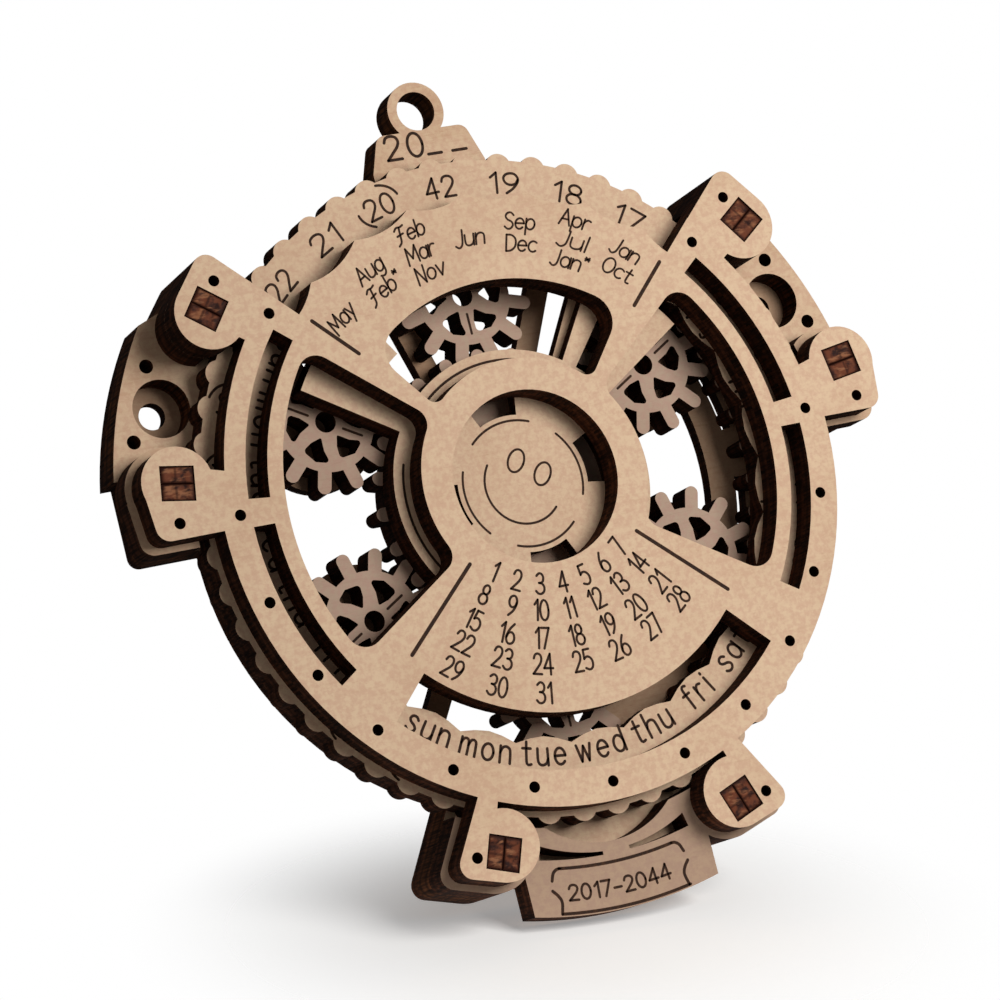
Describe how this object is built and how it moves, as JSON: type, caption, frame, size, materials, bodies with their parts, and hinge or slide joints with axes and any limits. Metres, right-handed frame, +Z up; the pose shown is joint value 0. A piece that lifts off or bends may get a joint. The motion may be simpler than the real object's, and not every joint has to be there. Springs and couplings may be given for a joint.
{
  "type": "perpetual wall calendar",
  "caption": "Round plywood perpetual wall calendar: a toothed ring turns by hand behind a pierced dial and drives planet gears and a centre disc.",
  "frame": {"origin": "axis of the hanging eye at the rear face of its tab", "axes": "+Z up along the wall, -Y out of the dial's front towards the reader, +X to the reader's right"},
  "size_m": [0.1444, 0.021, 0.1531],
  "materials": {
    "plywood": "bare, laser cut",
    "inner_plywood": "bare, laser cut, toned by smoke",
    "gear_plywood": "bare, laser cut",
    "clip_wood": "burnt end grain, waxed"
  },
  "bodies": {
    "frame": {"front_plate": "plywood", "front_backer": "inner_plywood", "spider_front": "plywood", "spider_rear": "inner_plywood", "frame_front": "plywood", "frame_rear": "inner_plywood", "back_plate": "plywood", "upper_left_spacer_front": "inner_plywood", "upper_left_spacer_rear": "inner_plywood", "upper_right_spacer_front": "inner_plywood", "upper_right_spacer_rear": "inner_plywood", "side_left_spacer_front": "inner_plywood", "side_left_spacer_rear": "inner_plywood", "side_right_spacer_front": "inner_plywood", "side_right_spacer_rear": "inner_plywood", "label_front": "plywood", "label_rear": "inner_plywood", "clips": "clip_wood"},
    "calendar": {"calendar_ring": "plywood", "rim_ring": "inner_plywood", "ring_gear_front": "gear_plywood", "ring_gear_rear": "gear_plywood"},
    "sun": {"sun_front": "gear_plywood", "sun_rear": "gear_plywood", "sun_boss": "gear_plywood", "face_disc": "plywood"},
    "planet_1": {"planet_1_front": "gear_plywood", "planet_1_rear": "gear_plywood"},
    "planet_2": {"planet_2_front": "gear_plywood", "planet_2_rear": "gear_plywood"},
    "planet_3": {"planet_3_front": "gear_plywood", "planet_3_rear": "gear_plywood"},
    "planet_4": {"planet_4_front": "gear_plywood", "planet_4_rear": "gear_plywood"},
    "planet_5": {"planet_5_front": "gear_plywood", "planet_5_rear": "gear_plywood"},
    "planet_6": {"planet_6_front": "gear_plywood", "planet_6_rear": "gear_plywood"}
  },
  "joints": [
    {"name": "ring_turn", "type": "hinge", "parent": "frame", "child": "calendar", "pos_m": [0, -0.006, -0.071], "axis": [0, -1, 0], "continuous": true},
    {"name": "sun_turn", "type": "hinge", "parent": "frame", "child": "sun", "pos_m": [0, -0.006, -0.071], "axis": [0, -1, 0], "continuous": true},
    {"name": "planet_1_spin", "type": "hinge", "parent": "frame", "child": "planet_1", "pos_m": [0.03129, -0.003, -0.05293], "axis": [0, -1, 0], "continuous": true},
    {"name": "planet_2_spin", "type": "hinge", "parent": "frame", "child": "planet_2", "pos_m": [0, -0.003, -0.03487], "axis": [0, -1, 0], "continuous": true},
    {"name": "planet_3_spin", "type": "hinge", "parent": "frame", "child": "planet_3", "pos_m": [-0.03129, -0.003, -0.05293], "axis": [0, -1, 0], "continuous": true},
    {"name": "planet_4_spin", "type": "hinge", "parent": "frame", "child": "planet_4", "pos_m": [-0.03129, -0.003, -0.08907], "axis": [0, -1, 0], "continuous": true},
    {"name": "planet_5_spin", "type": "hinge", "parent": "frame", "child": "planet_5", "pos_m": [0, -0.003, -0.10713], "axis": [0, -1, 0], "continuous": true},
    {"name": "planet_6_spin", "type": "hinge", "parent": "frame", "child": "planet_6", "pos_m": [0.03129, -0.003, -0.08907], "axis": [0, -1, 0], "continuous": true}
  ],
  "couplings": [
    {"joint": "sun_turn", "follows": "ring_turn", "ratio": -2},
    {"joint": "planet_1_spin", "follows": "ring_turn", "ratio": 4},
    {"joint": "planet_2_spin", "follows": "ring_turn", "ratio": 4},
    {"joint": "planet_3_spin", "follows": "ring_turn", "ratio": 4},
    {"joint": "planet_4_spin", "follows": "ring_turn", "ratio": 4},
    {"joint": "planet_5_spin", "follows": "ring_turn", "ratio": 4},
    {"joint": "planet_6_spin", "follows": "ring_turn", "ratio": 4}
  ]
}
